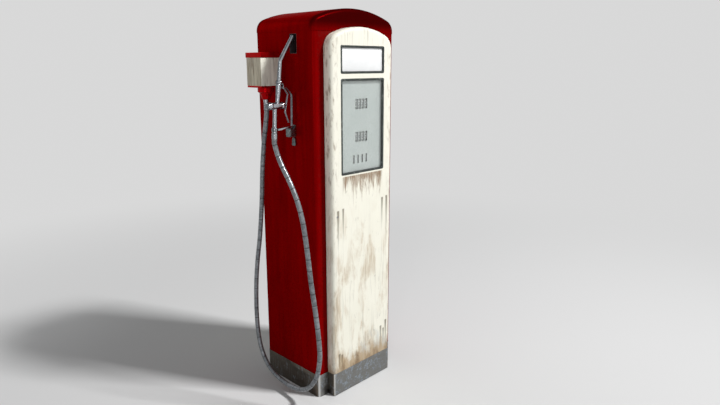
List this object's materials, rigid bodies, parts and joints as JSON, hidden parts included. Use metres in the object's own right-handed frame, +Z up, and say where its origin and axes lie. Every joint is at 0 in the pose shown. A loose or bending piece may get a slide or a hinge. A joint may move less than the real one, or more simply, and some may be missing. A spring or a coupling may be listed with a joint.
{
  "type": "gas pump",
  "caption": "Tall free-standing fuel dispenser cabinet with arched top, hinged front and rear doors, number-wheel register, side outlet box, hanging hose and lever nozzle.",
  "frame": {"origin": "on the ground, under the centre of the case", "axes": "+Z up, -Y towards the dial face, -X towards the side that carries the hose and nozzle"},
  "size_m": [0.7231, 0.6218, 1.99],
  "materials": {
    "red_enamel": "worn gloss enamel",
    "cream_enamel": "worn enamel with rust runs",
    "skirt_metal": "dull, smudged",
    "nozzle_metal": "cast and polished by use",
    "frame_steel": "dark painted steel",
    "cast_iron": "painted casting",
    "shaft_steel": "plain turned steel",
    "bezel_metal": "darkened frame",
    "milk_glass": "opal white",
    "clear_glass": "clear, scratched",
    "dial_paint": "matt grey-green",
    "wheel_plastic": "matt",
    "black_rubber": "matt",
    "hose_cover": "grey, banded"
  },
  "bodies": {
    "case": {"base_plate": "frame_steel", "frame_channel_left": "frame_steel", "frame_channel_right": "frame_steel", "meter_shelf": "frame_steel", "head_plate": "frame_steel", "left_side_panel": "red_enamel", "right_side_panel": "red_enamel", "top_cover": "red_enamel", "case_skirt": "skirt_metal", "front_kick_plate": "skirt_metal", "rear_kick_plate": "skirt_metal", "front_door_hinge": "shaft_steel", "rear_door_hinge": "shaft_steel", "dial_plate": "dial_paint", "register_frame": "frame_steel", "meter": "cast_iron", "riser_pipe": "shaft_steel", "outlet_pipe": "shaft_steel", "lamp": "milk_glass", "motor": "cast_iron", "pumping_unit": "cast_iron", "drive_belt": "black_rubber", "inlet_pipe": "shaft_steel", "outlet_housing": "cream_enamel", "outlet_cap": "red_enamel", "outlet_swivel": "red_enamel", "hose_ferrule": "nozzle_metal", "hose": "hose_cover", "nozzle_hook": "nozzle_metal", "spout_pocket": "frame_steel"},
    "front_door": {"front_door": "cream_enamel", "logo_frame": "bezel_metal", "logo_glass": "milk_glass", "dial_bezel": "bezel_metal", "dial_glass": "clear_glass"},
    "front_door_lock": {"front_door_lock": "shaft_steel"},
    "rear_door": {"rear_door": "cream_enamel"},
    "rear_door_lock": {"rear_door_lock": "shaft_steel"},
    "volume_drive": {"volume_shaft": "shaft_steel", "volume_wheel_1": "wheel_plastic"},
    "volume_wheel_2": {"volume_wheel_2": "wheel_plastic"},
    "volume_wheel_3": {"volume_wheel_3": "wheel_plastic"},
    "volume_wheel_4": {"volume_wheel_4": "wheel_plastic"},
    "sale_drive": {"sale_shaft": "shaft_steel", "sale_wheel_1": "wheel_plastic"},
    "sale_wheel_2": {"sale_wheel_2": "wheel_plastic"},
    "sale_wheel_3": {"sale_wheel_3": "wheel_plastic"},
    "sale_wheel_4": {"sale_wheel_4": "wheel_plastic"},
    "register_drive": {"register_drive_shaft": "shaft_steel"},
    "price_roller": {"price_roller": "shaft_steel"},
    "pump_pulley": {"pump_pulley": "frame_steel"},
    "motor_pulley": {"motor_pulley": "frame_steel"},
    "nozzle": {"nozzle_body": "nozzle_metal", "spout": "nozzle_metal", "collar_nut": "nozzle_metal", "guard": "nozzle_metal", "hose_swivel": "nozzle_metal"},
    "lever": {"lever": "nozzle_metal"},
    "valve_stem": {"valve_stem": "shaft_steel"},
    "switch_lever": {"switch_lever": "nozzle_metal"}
  },
  "joints": [
    {"name": "front_door_swing", "type": "hinge", "parent": "case", "child": "front_door", "pos_m": [0.2232, -0.2289, 0.95], "axis": [0, 0, 1], "range_deg": [0, 100]},
    {"name": "front_lock_turn", "type": "hinge", "parent": "front_door", "child": "front_door_lock", "pos_m": [-0.1822, -0.2712, 0.985], "axis": [0, 1, 0], "range_deg": [0, 90]},
    {"name": "rear_door_swing", "type": "hinge", "parent": "case", "child": "rear_door", "pos_m": [-0.2232, 0.2289, 0.95], "axis": [0, 0, 1], "range_deg": [0, 100]},
    {"name": "rear_lock_turn", "type": "hinge", "parent": "rear_door", "child": "rear_door_lock", "pos_m": [0.1822, 0.2712, 0.985], "axis": [0, -1, 0], "range_deg": [0, 90]},
    {"name": "volume_spin", "type": "hinge", "parent": "case", "child": "volume_drive", "pos_m": [0, -0.214, 1.372], "axis": [1, 0, 0], "continuous": true},
    {"name": "volume_wheel_2_spin", "type": "hinge", "parent": "case", "child": "volume_wheel_2", "pos_m": [0.0113, -0.214, 1.372], "axis": [1, 0, 0], "continuous": true},
    {"name": "volume_wheel_3_spin", "type": "hinge", "parent": "case", "child": "volume_wheel_3", "pos_m": [-0.0112, -0.214, 1.372], "axis": [1, 0, 0], "continuous": true},
    {"name": "volume_wheel_4_spin", "type": "hinge", "parent": "case", "child": "volume_wheel_4", "pos_m": [-0.0338, -0.214, 1.372], "axis": [1, 0, 0], "continuous": true},
    {"name": "sale_spin", "type": "hinge", "parent": "case", "child": "sale_drive", "pos_m": [0, -0.214, 1.535], "axis": [1, 0, 0], "continuous": true},
    {"name": "sale_wheel_2_spin", "type": "hinge", "parent": "case", "child": "sale_wheel_2", "pos_m": [0.0113, -0.214, 1.535], "axis": [1, 0, 0], "continuous": true},
    {"name": "sale_wheel_3_spin", "type": "hinge", "parent": "case", "child": "sale_wheel_3", "pos_m": [-0.0112, -0.214, 1.535], "axis": [1, 0, 0], "continuous": true},
    {"name": "sale_wheel_4_spin", "type": "hinge", "parent": "case", "child": "sale_wheel_4", "pos_m": [-0.0338, -0.214, 1.535], "axis": [1, 0, 0], "continuous": true},
    {"name": "register_drive_spin", "type": "hinge", "parent": "case", "child": "register_drive", "pos_m": [-0.085, -0.1717, 1.2], "axis": [0, 0, 1], "continuous": true},
    {"name": "price_roller_spin", "type": "hinge", "parent": "case", "child": "price_roller", "pos_m": [0, -0.214, 1.26], "axis": [1, 0, 0], "continuous": true},
    {"name": "pump_pulley_spin", "type": "hinge", "parent": "case", "child": "pump_pulley", "pos_m": [0.105, -0.072, 0.19], "axis": [0, 1, 0], "continuous": true},
    {"name": "motor_pulley_spin", "type": "hinge", "parent": "case", "child": "motor_pulley", "pos_m": [-0.105, -0.072, 0.115], "axis": [0, 1, 0], "continuous": true},
    {"name": "nozzle_lift", "type": "slide", "parent": "case", "child": "nozzle", "axis": [-0.9119, 0, 0.4104], "range_m": [0, 0.15]},
    {"name": "lever_squeeze", "type": "hinge", "parent": "nozzle", "child": "lever", "pos_m": [-0.342, -0.072, 1.619], "axis": [0, 1, 0], "range_deg": [0, 6.5], "stiffness_Nm_per_rad": 1.5, "springref_deg": -2.86},
    {"name": "valve_stem_slide", "type": "slide", "parent": "nozzle", "child": "valve_stem", "axis": [-1, 0, 0], "range_m": [0, 0.0107]},
    {"name": "switch_turn", "type": "hinge", "parent": "case", "child": "switch_lever", "pos_m": [-0.28, -0.072, 1.365], "axis": [-1, 0, 0], "range_deg": [0, 70]}
  ],
  "couplings": [
    {"joint": "volume_wheel_2_spin", "follows": "volume_spin", "ratio": 0.1},
    {"joint": "volume_wheel_3_spin", "follows": "volume_spin", "ratio": 0.01},
    {"joint": "volume_wheel_4_spin", "follows": "volume_spin", "ratio": 0.001},
    {"joint": "sale_spin", "follows": "volume_spin", "ratio": 2},
    {"joint": "sale_wheel_2_spin", "follows": "volume_spin", "ratio": 0.2},
    {"joint": "sale_wheel_3_spin", "follows": "volume_spin", "ratio": 0.02},
    {"joint": "sale_wheel_4_spin", "follows": "volume_spin", "ratio": 0.002},
    {"joint": "register_drive_spin", "follows": "volume_spin", "ratio": 5},
    {"joint": "motor_pulley_spin", "follows": "pump_pulley_spin", "ratio": 2.7273},
    {"joint": "valve_stem_slide", "follows": "lever_squeeze", "m_per_rad": 0.0925}
  ]
}
